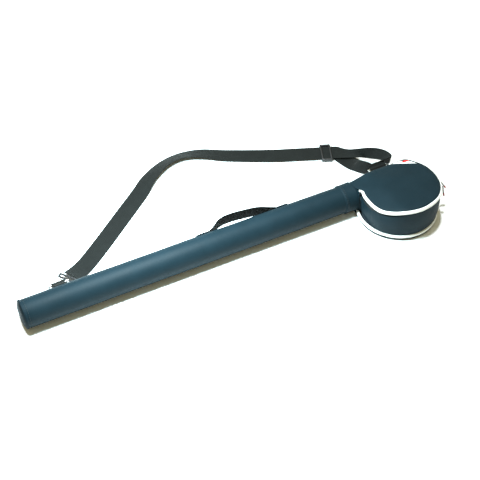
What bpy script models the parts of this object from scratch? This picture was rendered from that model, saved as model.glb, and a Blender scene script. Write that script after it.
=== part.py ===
"""A shoulder-strap tube case with a round zipped pouch: Blender 4.5, metres, +Z up.

The origin is on the floor under the centre of the pouch's round front. The tube runs along -X from the
pouch, and +Y is the back, where the carry handle and the shoulder strap are. Run it with
blender --background --python part.py, or from Blender's text editor.
"""

import math

import bmesh
import bpy
from mathutils import Matrix, Vector

MM = 0.001

# Tube: a plastic pipe in a cloth sleeve
PIPE_RADIUS = 25.0 * MM
PIPE_WALL = 1.8 * MM
CLEARANCE = 0.3 * MM  # between pieces that touch
CLOTH = 1.2 * MM
SLEEVE_RADIUS = PIPE_RADIUS + CLEARANCE + CLOTH
COLLAR_RADIUS = SLEEVE_RADIUS + CLEARANCE + 1.1 * MM
TUBE_Y = 51.5 * MM
TUBE_Z = COLLAR_RADIUS + 0.1 * MM
TUBE_END_X = -734.0 * MM
NECK_X = -71.0 * MM
ROUND_SIDES = 28

# Pouch: a round front, a flatter far side and a rounded back in line with the tube
POUCH_RADIUS = 75.0 * MM
SIDE_RADIUS = 100.0 * MM
SIDE_START = math.radians(-17)
BACK_CENTRE_Y = 50.5 * MM
BACK_RADIUS = 29.5 * MM
CORNER = 6.0 * MM
WALL = 1.5 * MM
WALL_LOW = 9.8 * MM
WALL_HIGH = 51.0 * MM
PIPING_RADIUS = 3.0 * MM
BASE_PIPING_Z = 6.5 * MM
LID_PIPING_Z = 59.0 * MM
LID_BACK_Y = 66.0 * MM
BASE_BACK_Y = 76.5 * MM
PAD_BACK_Y = 73.5 * MM
BACK_SEAM = Vector((0.0, -3.3, 4.9)) * MM  # the back wall's lower edge: how far it turns in, and its height
LID_TOP = 64.5 * MM
BADGE_LEFT = Vector((23.5, 59.0, 0.0)) * MM
BADGE_RIGHT = Vector((64.5, 39.2, 0.0)) * MM
HINGE = Vector((0.0, 67.0 * MM, 57.0 * MM))
LID_TILT = math.radians(5.2)  # the zip rises from the hinge to the pouch's front

# Shoulder strap, its rings and its fittings
WEBBING = 1.5 * MM
STRAP_WIDTH = 36.0 * MM
RING_AXIS = Vector((0.0, 84.5 * MM, 36.0 * MM))
RING_WIRE = 1.75 * MM
END_RING_X = -654.0 * MM
POUCH_RING_X = 15.0 * MM
TRIGLIDE = Vector((-39.7, 203.3, 5.2)) * MM
TRIGLIDE_TURN = math.radians(-22)
HOOK_BASE = Vector((-628.1, 107.1, 13.7)) * MM
HOOK_TURN = math.radians(218)
HOOK_RISE = math.radians(14)

# Carry handle
HANDLE_WIDTH = 25.0 * MM
HANDLE_LEFT = -367.0 * MM
HANDLE_RIGHT = -224.0 * MM
HANDLE_SEWN = 22.0 * MM
HANDLE_ANGLE = math.radians(15)

# Zip sliders, each on the centre of its own arc
FRONT_SLIDER_ANGLE = math.radians(-24)
BACK_SLIDER_ANGLE = math.radians(-13)
SLIDER_Z = 52.4 * MM
PULL_REACH = 7.6 * MM  # from the zip's path out to the pull's axis
FRONT_PULL_SWING = math.radians(10)
BACK_PULL_SWING = math.radians(33)
TILTED = ("zip_", "pull_tip_", "lid_panel", "lid_padding", "lid_piping", "corner_badge", "badge_mark")

SIDE_CENTRE = Vector((math.cos(SIDE_START), math.sin(SIDE_START), 0.0)) * (POUCH_RADIUS - SIDE_RADIUS)

COLOURS = {
    "navy_cloth": ((0.035, 0.065, 0.11), 0.85, 0.0),
    "piping": ((0.85, 0.85, 0.82), 0.5, 0.0),
    "webbing": ((0.012, 0.012, 0.013), 0.75, 0.0),
    "zip_tape": ((0.01, 0.01, 0.012), 0.7, 0.0),
    "zip_coil": ((0.008, 0.008, 0.009), 0.35, 0.0),
    "zip_metal": ((0.03, 0.03, 0.032), 0.35, 0.8),
    "pull_tip": ((0.45, 0.01, 0.03), 0.4, 0.0),
    "ring_metal": ((0.62, 0.62, 0.6), 0.25, 1.0),
    "black_plastic": ((0.012, 0.012, 0.013), 0.4, 0.0),
    "badge": ((0.9, 0.9, 0.9), 0.5, 0.0),
    "badge_mark": ((0.7, 0.02, 0.02), 0.5, 0.0),
    "pipe_plastic": ((0.55, 0.56, 0.57), 0.45, 0.0),
    "foam": ((0.06, 0.06, 0.065), 0.9, 0.0),
    "lining": ((0.03, 0.035, 0.045), 0.8, 0.0),
}


def clear_scene():
    for item in list(bpy.data.objects):
        bpy.data.objects.remove(item)


def material(name):
    """The named Principled material, made once."""
    found = bpy.data.materials.get(name)
    if found:
        return found
    colour, roughness, metallic = COLOURS[name]
    made = bpy.data.materials.new(name)
    made.use_nodes = True
    shader = made.node_tree.nodes["Principled BSDF"]
    shader.inputs["Base Color"].default_value = (*colour, 1.0)
    shader.inputs["Roughness"].default_value = roughness
    shader.inputs["Metallic"].default_value = metallic
    return made


def body_empty(name, place):
    """The empty that a moving body's pieces hang on, on its joint's axis."""
    empty = bpy.data.objects.new(name, None)
    empty.location = place
    bpy.context.scene.collection.objects.link(empty)
    return empty


def add(name, data, slot, parent=None):
    """Links one named piece, whose data is in world coordinates, under its body's empty."""
    piece = bpy.data.objects.new(name, data)
    bpy.context.scene.collection.objects.link(piece)
    data.materials.append(material(slot))
    if parent:
        piece.parent = parent
        piece.location = -parent.location
    return piece


def solid(name, faces_of, slot, parent=None, smooth=True):
    """Makes a piece from a function that fills a bmesh."""
    bm = bmesh.new()
    faces_of(bm)
    bmesh.ops.recalc_face_normals(bm, faces=bm.faces)
    mesh = bpy.data.meshes.new(name)
    bm.to_mesh(mesh)
    bm.free()
    if smooth:
        mesh.shade_smooth()
        mesh.set_sharp_from_angle(angle=math.radians(40))
    return add(name, mesh, slot, parent)


def loft(name, rings, slot, parent=None, cyclic=False):
    """A skin through closed rings of points, capped at both ends unless the last ring meets the first."""

    def fill(bm):
        loops = [[bm.verts.new(point) for point in ring] for ring in rings]
        pairs = list(zip(loops, loops[1:]))
        if cyclic:
            pairs.append((loops[-1], loops[0]))
        for one, two in pairs:
            for k in range(len(one)):
                after = (k + 1) % len(one)
                bm.faces.new((one[k], one[after], two[after], two[k]))
        if not cyclic:
            bm.faces.new(loops[0][::-1])
            bm.faces.new(loops[-1])

    return solid(name, fill, slot, parent)


def circle_x(x, radius, y=TUBE_Y, z=TUBE_Z, sides=ROUND_SIDES):
    """A ring of points round a line along X."""
    turns = [2 * math.pi * k / sides for k in range(sides)]
    return [Vector((x, y + radius * math.cos(t), z + radius * math.sin(t))) for t in turns]


def hollow_tube(name, x0, x1, inner, outer, slot):
    """An open pipe along the tube's axis."""
    rings = [circle_x(x0, inner), circle_x(x1, inner), circle_x(x1, outer), circle_x(x0, outer)]
    return loft(name, rings, slot, cyclic=True)


def disc(name, x0, x1, radius, slot):
    return loft(name, [circle_x(x0, radius), circle_x(x1, radius)], slot)


def arc(centre, radius, start, end, count):
    """Points of a level arc, both ends included."""
    steps = [start + (end - start) * k / (count - 1) for k in range(count)]
    return [Vector((centre.x + radius * math.cos(a), centre.y + radius * math.sin(a), 0.0)) for a in steps]


def back_y(z):
    """How far back the pouch reaches at height z: its back is round, like the tube."""
    return BACK_CENTRE_Y + math.sqrt(BACK_RADIUS**2 - (z - TUBE_Z) ** 2)


def round_path(inset, end_y, count=22, side_count=9):
    """The pouch's plan from the neck's front round to the far back corner, at height zero."""
    start = math.pi - math.asin(24.2 * MM / POUCH_RADIUS)
    front = arc(Vector((0, 0, 0)), POUCH_RADIUS - inset, start, 2 * math.pi + SIDE_START, count)
    radius = SIDE_RADIUS - inset
    stop = math.asin((end_y - SIDE_CENTRE.y) / radius)
    return front + arc(SIDE_CENTRE, radius, SIDE_START, stop, side_count)[1:]


def outline(inset, back, back_count=4):
    """The pouch's whole plan: the round path, a rounded corner, and the straight back to the neck."""
    points = round_path(inset, back - inset - CORNER)
    radius = SIDE_RADIUS - inset
    y = back - inset
    corner_x = SIDE_CENTRE.x + math.sqrt(radius**2 - (y - SIDE_CENTRE.y) ** 2)
    start, tip, end = points[-1], Vector((corner_x, y, 0)), Vector((corner_x - CORNER, y, 0))
    for share in (0.33, 0.67, 1.0):
        points.append(start * (1 - share) ** 2 + tip * (2 * share * (1 - share)) + end * share**2)
    for k in range(1, back_count + 1):
        points.append(end + (Vector((NECK_X + inset, y, 0)) - end) * k / back_count)
    return points


def at(points, z):
    return [Vector((p.x, p.y, z)) for p in points]


def band(name, levels, thick, slot, parent=None, inset=0.0):
    """A wall along the pouch's plan, through heights and how far back it reaches at each."""
    rings = [at(outline(inset, back) + outline(inset + thick, back)[::-1], z) for z, back in levels]
    return loft(name, rings, slot, parent)


def strip(name, inset, thick, low, high, slot, parent=None, end_y=54.0 * MM):
    """A narrow upright strip along the zip's path."""
    outer, inner = round_path(inset, end_y), round_path(inset + thick, end_y)
    sections = []
    for a, b in zip(outer, inner):
        corners = ((a, low), (a, high), (b, high), (b, low))
        sections.append([Vector((p.x, p.y, z)) for p, z in corners])
    return loft(name, sections, slot, parent)


def rod(name, points, radius, slot, parent=None, cyclic=False, resolution=2):
    """A round bar or piping along points, as a curve with a bevel."""
    curve = bpy.data.curves.new(name, "CURVE")
    curve.dimensions = "3D"
    curve.bevel_depth = radius
    curve.bevel_resolution = resolution
    curve.use_fill_caps = True
    line = curve.splines.new("POLY")
    line.points.add(len(points) - 1)
    for point, place in zip(line.points, points):
        point.co = (*place, 1.0)
    line.use_cyclic_u = cyclic
    return add(name, curve, slot, parent)


def box_rings(low, high):
    """Two rings of a box, bottom and top."""
    flat = ((low[0], low[1]), (high[0], low[1]), (high[0], high[1]), (low[0], high[1]))
    return [[Vector((x, y, z)) for x, y in flat] for z in (low[2], high[2])]


def placed(rings, origin, turn, rise=0.0):
    """Rings turned about Z, and raised at their +X end, then moved to an origin."""
    forward = Vector((math.cos(turn) * math.cos(rise), math.sin(turn) * math.cos(rise), math.sin(rise)))
    side = Vector((-math.sin(turn), math.cos(turn), 0.0))
    up = forward.cross(side)
    return [[origin + forward * p.x + side * p.y + up * p.z for p in ring] for ring in rings]


def catmull_rom(a, b, c, d, t):
    """The value between b and c at share t, on a curve that passes through all four."""
    square, cube = (2 * a - 5 * b + 4 * c - d) * t**2, (3 * b - a - 3 * c + d) * t**3
    return 0.5 * (2 * b + (c - a) * t + square + cube)


def smooth_line(stops, per_span):
    """A curve through tuples of any length."""
    line = []
    last = len(stops) - 1
    for k in range(last):
        four = [stops[max(0, min(last, j))] for j in (k - 1, k, k + 1, k + 2)]
        for step in range(per_span):
            line.append(tuple(catmull_rom(*values, step / per_span) for values in zip(*four)))
    line.append(tuple(stops[-1]))
    return line


def middle(stop):
    """The middle of a stop, which is (x, y, z, tilt) or the near and far edges of the webbing."""
    if len(stop) == 4:
        return Vector(stop[:3])
    return (Vector(stop[:3]) + Vector(stop[3:])) / 2


def edges(stops, width):
    """Every stop as the webbing's two edges, in millimetres."""
    made = []
    for k, stop in enumerate(stops):
        if len(stop) == 4:
            along = middle(stops[min(k + 1, len(stops) - 1)]) - middle(stops[max(k - 1, 0)])
            flat = along.cross(Vector((0, 0, 1))).normalized()
            tilt = math.radians(stop[3])
            half = (flat * math.cos(tilt) + flat.cross(along.normalized()) * math.sin(tilt)) * (width / 2)
            stop = (*(middle(stop) + half), *(middle(stop) - half))
        made.append(tuple(stop))
    return made


def webbing(stops, per_span, width, thick):
    """Cross-sections of flat webbing through its stops."""
    line = smooth_line(edges(stops, width / MM), per_span)
    sections = []
    for k, stop in enumerate(line):
        along = middle(line[min(k + 1, len(line) - 1)]) - middle(line[max(k - 1, 0)])
        near, far = Vector(stop[:3]), Vector(stop[3:])
        up = (near - far).cross(along).normalized() * (thick / 2)
        sections.append([far * MM - up, near * MM - up, near * MM + up, far * MM + up])
    return sections


# The shoulder strap's own route, from the hook to the triglide and round the pouch's ring: x, y, z, tilt
TRIGLIDE_ALONG = (math.cos(TRIGLIDE_TURN), math.sin(TRIGLIDE_TURN))


def by_triglide(distance, z):
    """A point of the straight stretch through the triglide, in millimetres."""
    x = TRIGLIDE.x / MM + TRIGLIDE_ALONG[0] * distance
    y = TRIGLIDE.y / MM + TRIGLIDE_ALONG[1] * distance
    return (x, y, z, 0.0)


STRAIGHT_Z = TRIGLIDE.z / MM
STRAP_ROUTE = [
    (-621.4, 112.4, 11.4, 0),
    (-605, 123.5, 5, 0),
    (-580, 140.5, 1.4, 0),
    (-534.5, 176, 1.2, 0),
    (-479.5, 221, 1.2, 0),
    (-425.5, 265, 2.6, 5),
    (-391, 294.5, 7, 17),
    (-350, 316.5, 9.5, 25),
    (-311, 323, 9.5, 24),
    (-271, 313.5, 7.5, 14),
    (-226.5, 290, 3.5, 5),
    (-165, 258, 3.2, 0),
    by_triglide(-96, STRAIGHT_Z),
    by_triglide(-84, STRAIGHT_Z),
    by_triglide(-30, STRAIGHT_Z),
]
FOLD_ENDS = (POUCH_RING_X / MM - STRAP_WIDTH / MM / 2, POUCH_RING_X / MM + STRAP_WIDTH / MM / 2)


def across_ring(y, z):
    """A stop of the webbing that lies along the pouch ring's far bar."""
    return (FOLD_ENDS[0], y, z, FOLD_ENDS[1], y, z)


# Near the pouch the webbing stands on edge: the near edge, which is the lower one, then the far edge
STRAP_LOOP = [
    by_triglide(12, STRAIGHT_Z),
    by_triglide(20, STRAIGHT_Z),
    (10, 157, 10, 2, 184, 14),
    (33, 148, 5, 27, 144, 40),
    (49, 129, 9, 44, 122, 45),
    (52, 110, 14, 48, 101, 47),
    (24, 105.5, 33, 42, 99.5, 44),
    across_ring(103, 37.5),
    across_ring(99.4, 33.8),
    across_ring(95.6, 32.7),
    across_ring(94.4, 30.3),
    across_ring(95.6, 28.0),
    across_ring(98.0, 27.4),
]
RETURN_ROUTE = [
    across_ring(99.2, 27.2),
    (2, 111, 8, 19, 109, 23),
    (-4, 121, 2, 6, 117, 31),
    (-14, 134, 1.6, -4, 135, 27),
    (-22, 147, 1.4, 6, 150, 11),
    (-27, 161, 1.2, 4, 173, 2.6),
    (-31.7, 180.6, 1.2, -18.3, 214, 1.2),
    by_triglide(0, 1.1),
]


def build_tube():
    """The rigid pipe with its closed end, and the cloth sleeve over it."""
    pipe_x0, pipe_x1 = TUBE_END_X + 4 * MM, NECK_X - CLEARANCE
    bore = PIPE_RADIUS - PIPE_WALL
    hollow_tube("inner_pipe", pipe_x0, pipe_x1, bore, PIPE_RADIUS, "pipe_plastic")
    disc("pipe_end_plug", pipe_x0, pipe_x0 + 8 * MM, bore - CLEARANCE, "black_plastic")
    disc("end_foam_pad", pipe_x0 + 8.3 * MM, pipe_x0 + 20 * MM, bore - CLEARANCE, "foam")
    lining = bore - CLEARANCE
    hollow_tube("tube_lining", pipe_x0 + 20.3 * MM, pipe_x1, lining - 0.6 * MM, lining, "lining")
    hollow_tube("tube_sleeve", pipe_x0, pipe_x1, PIPE_RADIUS + CLEARANCE, SLEEVE_RADIUS, "navy_cloth")
    disc("sleeve_end_disc", TUBE_END_X + 1 * MM, pipe_x0 - CLEARANCE, PIPE_RADIUS, "navy_cloth")
    ring = circle_x(pipe_x0 - 1.6 * MM, PIPE_RADIUS + 1.6 * MM)
    rod("end_binding", ring, 1.2 * MM, "navy_cloth", cyclic=True)
    inner = SLEEVE_RADIUS + CLEARANCE
    hollow_tube("neck_collar", NECK_X - 27 * MM, NECK_X - CLEARANCE, inner, COLLAR_RADIUS, "navy_cloth")


def neck_panel():
    """The pouch's end wall, with the round mouth of the pipe in it."""
    mouth = PIPE_RADIUS - PIPE_WALL
    back, offset = BACK_RADIUS - WALL - 0.5 * MM, BACK_CENTRE_Y - TUBE_Y

    def edge(turn):
        side, up = math.cos(turn), math.sin(turn)
        level = (23.5 * MM if up < 0 else 24.3 * MM) / max(abs(up), 0.01)
        if side < 0:
            return min(level, 24.4 * MM / max(-side, 0.01))
        return min(level, offset * side + math.sqrt(back**2 - (offset * up) ** 2))

    sides = 40
    turns = [2 * math.pi * k / sides for k in range(sides)]
    rings = []
    for x in (NECK_X + CLEARANCE, NECK_X + 1.8 * MM):
        for radius in (lambda turn: mouth, edge):
            circle = [(radius(t) * math.cos(t), radius(t) * math.sin(t)) for t in turns]
            rings.append([Vector((x, TUBE_Y + y, TUBE_Z + z)) for y, z in circle])
    loft("neck_panel", [rings[0], rings[2], rings[3], rings[1]], "navy_cloth", cyclic=True)


def build_pouch():
    """The walls, base and lower half of the zip."""
    heights = [WALL_LOW + (WALL_HIGH - WALL_LOW) * k / 7 for k in range(8)]
    wall = band("pouch_wall", [(z, back_y(z)) for z in heights], WALL, "navy_cloth")
    for vertex in wall.data.vertices:
        if vertex.co.z < WALL_LOW + CLEARANCE and vertex.co.y > 66 * MM:
            vertex.co.y += BACK_SEAM.y
            vertex.co.z = BACK_SEAM.z
    strip("wall_padding", 3.9 * MM, 3.0 * MM, WALL_LOW, WALL_HIGH - 0.8 * MM, "foam", end_y=52 * MM)
    neck_panel()
    levels = ((9 * MM, 0.0), (3.5 * MM, 3.2 * MM), (3.5 * MM, 4.4 * MM))
    loft("base_panel", [at(outline(inset, BASE_BACK_Y), z) for inset, z in levels], "navy_cloth")
    pad = outline(6.6 * MM, PAD_BACK_Y)
    loft("base_pad", [at(pad, 4.7 * MM), at(pad, 8.7 * MM)], "foam")
    rod("base_piping", at(round_path(0.0, 57 * MM), BASE_PIPING_Z), PIPING_RADIUS, "piping")
    strip("zip_tape_lower", 2.2 * MM, 0.8 * MM, 46 * MM, 53.2 * MM, "zip_tape")
    strip("zip_coil_lower", 1.2 * MM, 2.0 * MM, 53.5 * MM, 54.4 * MM, "zip_coil")
    hinge_tape()
    for name, near, far in (("zip_stop_front", 0, 1), ("zip_stop_back", -1, -2)):
        line = round_path(-0.9 * MM, 54 * MM)
        place, along = line[near], line[near] - line[far]
        turn = math.atan2(along.y, along.x)
        low, high = (1.6 * MM, -0.6 * MM, 51.4 * MM), (3.5 * MM, 2.8 * MM, 55.6 * MM)
        if near == 0:
            low, high = (0.4 * MM, -2.8 * MM, 51.4 * MM), (2.6 * MM, 0.6 * MM, 55.6 * MM)
        loft(name, placed(box_rings(low, high), Vector((place.x, place.y, 0)), turn), "zip_metal")


def hinge_tape():
    """The strip of cloth along the straight back edge, on which the lid folds back."""
    low = (NECK_X + 4 * MM, 59.0 * MM, 52.6 * MM)
    high = (48.0 * MM, 67.0 * MM, 53.8 * MM)
    loft("lid_hinge_tape", box_rings(low, high), "navy_cloth")


def build_lid(body):
    """The padded lid with its piping, badge and upper half of the zip."""
    levels = ((4.6, 56.9), (4.6, 63.2), (5.6, LID_TOP / MM))
    rings = [at(outline(inset * MM, LID_BACK_Y), z * MM) for inset, z in levels]
    loft("lid_panel", rings, "navy_cloth", body)
    pad = outline(8.5 * MM, LID_BACK_Y)
    loft("lid_padding", [at(pad, 54.4 * MM), at(pad, 56.6 * MM)], "foam", body)
    rod("lid_piping", at(round_path(0.0, 55 * MM), LID_PIPING_Z), PIPING_RADIUS, "piping", body)
    strip("zip_tape_upper", 3.3 * MM, 0.8 * MM, 54.8 * MM, 60.5 * MM, "zip_tape", body, 53 * MM)
    strip("zip_coil_upper", 1.2 * MM, 1.8 * MM, 54.7 * MM, 55.6 * MM, "zip_coil", body, 53 * MM)
    build_badge(body)


def build_badge(body):
    """A plain patch over the lid's far back corner, with one plain bar on it."""
    top = LID_TOP + CLEARANCE
    chord = BADGE_RIGHT - BADGE_LEFT
    edge = [p for p in outline(6.2 * MM, LID_BACK_Y) if (p - BADGE_LEFT).cross(chord).z < 0]
    side = Vector((BADGE_RIGHT.x, BADGE_RIGHT.y, 0.0))
    patch = [side, *edge, Vector((BADGE_LEFT.x, edge[-1].y, 0.0))]
    loft("corner_badge", [at(patch, top), at(patch, top + 0.6 * MM)], "badge", body)
    bar = [Vector((x, y, 0)) * MM for x, y in ((43, 56.5), (53, 52.5), (54, 55), (44, 59))]
    loft("badge_mark", [at(bar, top + 0.9 * MM), at(bar, top + 1.3 * MM)], "badge_mark", body)


def build_slider(name, centre, radius, angle, swing):
    """One zip slider on its arc, with its pull and the pull's coloured end."""
    out = Vector((math.cos(angle), math.sin(angle), 0))
    place = centre + out * radius
    body = body_empty(f"zip_slider_{name}_axis", Vector((centre.x, centre.y, SLIDER_Z)))
    shape = box_rings((0.5 * MM, -5.0 * MM, -3.2 * MM), (4.0 * MM, 5.0 * MM, 3.2 * MM))
    origin = Vector((place.x, place.y, SLIDER_Z))
    loft(f"zip_slider_{name}", placed(shape, origin, angle), "zip_metal", body)
    pivot = origin + out * PULL_REACH + Vector((0, 0, 1.5 * MM))
    pull = body_empty(f"zip_pull_{name}_axis", pivot)
    # the pull hangs along its own -Z, and swings outward by its rest angle
    down = Vector((0, 0, -1)) * math.cos(swing) + out * math.sin(swing)
    side = Vector((-math.sin(angle), math.cos(angle), 0))
    face = down.cross(side).normalized()

    def bar(start, end, half_wide, half_thick):
        rings = []
        for far in (start, end):
            middle = pivot + down * far
            corners = ((-1, -1), (1, -1), (1, 1), (-1, 1))
            rings.append([middle + side * (a * half_wide) + face * (b * half_thick) for a, b in corners])
        return rings

    loft(f"zip_pull_{name}", bar(-1 * MM, 15 * MM, 2.2 * MM, 0.9 * MM), "black_plastic", pull)
    loft(f"pull_tip_{name}", bar(15.3 * MM, 23 * MM, 2.8 * MM, 1.5 * MM), "pull_tip", pull)


def ring_tab(name, x, width, centre_y, radius):
    """Webbing folded round a ring's straight bar, with both its ends sewn on the cloth behind the ring."""
    outer = RING_WIRE + CLEARANCE
    turns = [math.radians(a) for a in (100, 50, 0, -50, -100)]

    def fold(radius):
        return [(RING_AXIS.y + radius * math.cos(a), RING_AXIS.z + radius * math.sin(a)) for a in turns]

    def on_cloth(z):
        return centre_y + math.sqrt((radius + CLEARANCE) ** 2 - (z - TUBE_Z) ** 2), z

    high = [on_cloth(42.6 * MM), on_cloth(44.6 * MM)]
    low = [on_cloth(27.0 * MM), on_cloth(29.0 * MM)]
    section = [*high, *fold(outer + WEBBING), *low, *fold(outer)[::-1]]
    sides = (x - width / 2, x + width / 2)
    loft(name, [[Vector((px, y, z)) for y, z in section] for px in sides], "webbing")


def bent_ring(name, x, lean, flat, body):
    """A ring of wire through points in millimetres: along its bar, and out from it at a lean."""
    base, out = Vector((x, RING_AXIS.y, RING_AXIS.z)), Vector((0, math.cos(lean), math.sin(lean)))
    points = [base + Vector((u, 0, 0)) * MM + out * (v * MM) for u, v in flat]
    rod(name, points, RING_WIRE, "ring_metal", body, cyclic=True)


def build_strap():
    """The rings, snap hook and webbing that swing together about the rings' bars."""
    body = body_empty("strap_swing_axis", RING_AXIS)
    half, straight, deep = 17.5, 4.0, 16.0
    turns = [math.pi * k / 9 for k in range(10)]
    bow = [(half * math.cos(t), straight + deep * math.sin(t)) for t in turns]
    bent_ring("end_ring", END_RING_X, math.radians(-68), [(-half, 0), (half, 0), *bow], body)
    half, deep = 20.5, 14.0
    corners = [(-half, 0), (half, 0), (half, deep), (-half, deep)]
    bent_ring("pouch_ring", POUCH_RING_X, math.radians(-24), corners, body)
    loft("shoulder_strap", webbing(STRAP_ROUTE + STRAP_LOOP, 3, STRAP_WIDTH, WEBBING), "webbing", body)
    loft("strap_return", webbing(RETURN_ROUTE, 3, STRAP_WIDTH, WEBBING), "webbing", body)
    build_hook(body)
    build_triglide()


def hook_point(x, y, z):
    """A point in millimetres along the hook, up across its flat side, and out of that side."""
    flat = math.cos(HOOK_RISE)
    forward = Vector((math.cos(HOOK_TURN) * flat, math.sin(HOOK_TURN) * flat, math.sin(HOOK_RISE)))
    level = Vector((-math.sin(HOOK_TURN), math.cos(HOOK_TURN), 0.0))
    return HOOK_BASE + (forward * x + forward.cross(level) * y + level * z) * MM


def build_hook(strap):
    """A swivel snap hook: a base loop sewn into the strap, a turning hook and a sprung gate."""
    half = STRAP_WIDTH / MM / 2 + 2.3
    frame = [hook_point(x, 0, z) for x, z in ((-4, -half), (4.5, -half), (4.5, half), (-4, half))]
    rod("hook_base_loop", frame, 1.8 * MM, "black_plastic", strap, cyclic=True)
    hook = body_empty("hook_swivel_axis", HOOK_BASE)
    shank = [(6.8, 0), (11.5, 0), (14.5, -4.5), (20, -7), (29, -6.8), (34.4, -1), (32.6, 4.5), (28, 6.4)]
    rod("hook_body", [hook_point(x, y, 0) for x, y in shank], 2.1 * MM, "black_plastic", hook)
    gate = body_empty("hook_gate_axis", hook_point(13.6, 4.6, 0))
    bar = [hook_point(13.6, 4.6, 0), hook_point(25.4, 6.4, 0)]
    rod("hook_gate", bar, 1.5 * MM, "black_plastic", gate)
    flat = ((14, -1.6), (17.5, -1.6), (17.5, 1.6), (14, 1.6))
    rings = [[hook_point(x, y, z) for x, z in flat] for y in (7.2, 11.5)]
    loft("gate_lever", rings, "black_plastic", gate)


def build_triglide():
    """The strap adjuster: outer bars over the webbing, and a middle bar under it."""
    body = body_empty("triglide_axis", TRIGLIDE)
    gap = WEBBING / 2 + 0.35 * MM
    tall = 2.2 * MM
    length, width, rail, lap, step = 11 * MM, 23.5 * MM, 4 * MM, 0.5 * MM, 0.4 * MM
    boxes = []
    for side in (-1, 1):
        y0, y1 = sorted((side * width, side * (width - rail)))
        boxes.append(((-length, y0, -gap - tall), (length, y1, gap + tall)))
    inner = width - rail + lap
    for side in (-1, 1):
        x0, x1 = sorted((side * (length - step), side * 7.5 * MM))
        boxes.append(((x0, -inner, gap), (x1, inner, gap + tall - step)))
    boxes.append(((-2.0 * MM, -inner, step - gap - tall), (2.0 * MM, inner, -gap)))
    parts = []
    for k, (low, high) in enumerate(boxes):
        rings = placed(box_rings(low, high), TRIGLIDE, TRIGLIDE_TURN)
        name = "triglide" if k == 0 else f"triglide_bar_{k}"
        parts.append(loft(name, rings, "black_plastic", body))
    for extra in parts[1:]:
        extra.hide_render = True
        extra.display_type = "WIRE"
        join = parts[0].modifiers.new(extra.name, "BOOLEAN")
        join.operation = "UNION"
        join.solver = "EXACT"
        join.object = extra


def build_handle():
    """The carry handle: webbing sewn flat at both ends under cloth patches, and bowed between them."""
    out = Vector((0, math.cos(HANDLE_ANGLE), math.sin(HANDLE_ANGLE)))
    round_ = Vector((0, -math.sin(HANDLE_ANGLE), math.cos(HANDLE_ANGLE)))
    axis = Vector((0, TUBE_Y, TUBE_Z))
    surface = SLEEVE_RADIUS + CLEARANCE

    def wrapped(x, radius, thick, width, count=9):
        """A cross-section that lies round the tube."""
        spread = width / 2 / radius
        turns = [HANDLE_ANGLE - spread + 2 * spread * k / (count - 1) for k in range(count)]
        centre = Vector((x, 0, 0)) + axis
        ring = [centre + Vector((0, math.cos(t), math.sin(t))) * radius for t in turns]
        ring += [centre + Vector((0, math.cos(t), math.sin(t))) * (radius + thick) for t in turns[::-1]]
        return ring

    def bowed(x, lift, bend):
        """A cross-section of the loop, flatter as it rises."""
        ring = []
        for k, t in enumerate([-1, -0.5, 0, 0.5, 1, 1, 0.5, 0, -0.5, -1]):
            across = round_ * (t * HANDLE_WIDTH / 2)
            drop = out * ((t * HANDLE_WIDTH / 2) ** 2 / (2 * surface) * bend)
            thick = out * (WEBBING if k > 4 else 0)
            ring.append(axis + Vector((x, 0, 0)) + out * (surface + lift) + across - drop + thick)
        return ring

    length = HANDLE_RIGHT - HANDLE_LEFT
    # share of the loop's length, and its lift off the tube in millimetres
    stops = [(0.0, 0.4), (0.06, 4.0), (0.16, 14.5), (0.28, 17.5), (0.42, 16.2), (0.6, 12.5)]
    stops += [(0.78, 8.5), (0.92, 3.0), (1.0, 0.4)]
    line = smooth_line(stops, 2)
    sections = [bowed(HANDLE_LEFT + share * length, lift * MM, 1 - min(1, lift / 12)) for share, lift in line]
    loft("handle_loop", sections, "webbing")
    ends = (
        ("left", HANDLE_LEFT - HANDLE_SEWN, HANDLE_LEFT - CLEARANCE, -1.5 * MM),
        ("right", HANDLE_RIGHT + CLEARANCE, HANDLE_RIGHT + HANDLE_SEWN, 1.5 * MM),
    )
    for name, x0, x1, near in ends:
        loft(f"handle_end_{name}", [wrapped(x, surface, WEBBING, HANDLE_WIDTH) for x in (x0, x1)], "webbing")
        patch = surface + WEBBING + CLEARANCE
        rings = [wrapped(x, patch, CLOTH, HANDLE_WIDTH + 8 * MM) for x in (x0 + near, x1 + near)]
        loft(f"handle_patch_{name}", rings, "navy_cloth")


def tilt_zip():
    """Turns the lid, the zip and its sliders about the hinge line, and draws the walls up to them."""
    turn = Matrix.Rotation(-LID_TILT, 4, "X")
    tilt = Matrix.Translation(HINGE) @ turn @ Matrix.Translation(-HINGE)
    for piece in bpy.data.objects:
        if piece.name.startswith(TILTED):
            if piece.data is None:
                piece.location = tilt @ piece.location
            else:
                piece.data.transform(tilt)
    for piece in bpy.data.objects:
        if piece.parent:
            piece.location = -piece.parent.location
    for name in ("pouch_wall", "wall_padding", "neck_panel"):
        for vertex in bpy.data.objects[name].data.vertices:
            share = (vertex.co.z - WALL_LOW) / (WALL_HIGH - WALL_LOW)
            forward = max(0.0, HINGE.y - vertex.co.y)
            vertex.co.z += math.tan(LID_TILT) * forward * max(0.0, share)


def build():
    clear_scene()
    build_tube()
    build_pouch()
    build_lid(body_empty("lid_hinge_axis", HINGE))
    build_slider("front", Vector((0, 0, 0)), POUCH_RADIUS, FRONT_SLIDER_ANGLE, FRONT_PULL_SWING)
    build_slider("back", SIDE_CENTRE, SIDE_RADIUS, BACK_SLIDER_ANGLE, BACK_PULL_SWING)
    tilt_zip()
    ring_tab("end_ring_tab", END_RING_X, 25.0 * MM, TUBE_Y, SLEEVE_RADIUS)
    ring_tab("pouch_ring_tab", POUCH_RING_X, 34.0 * MM, BACK_CENTRE_Y, BACK_RADIUS)
    build_strap()
    build_handle()


build()
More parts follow.
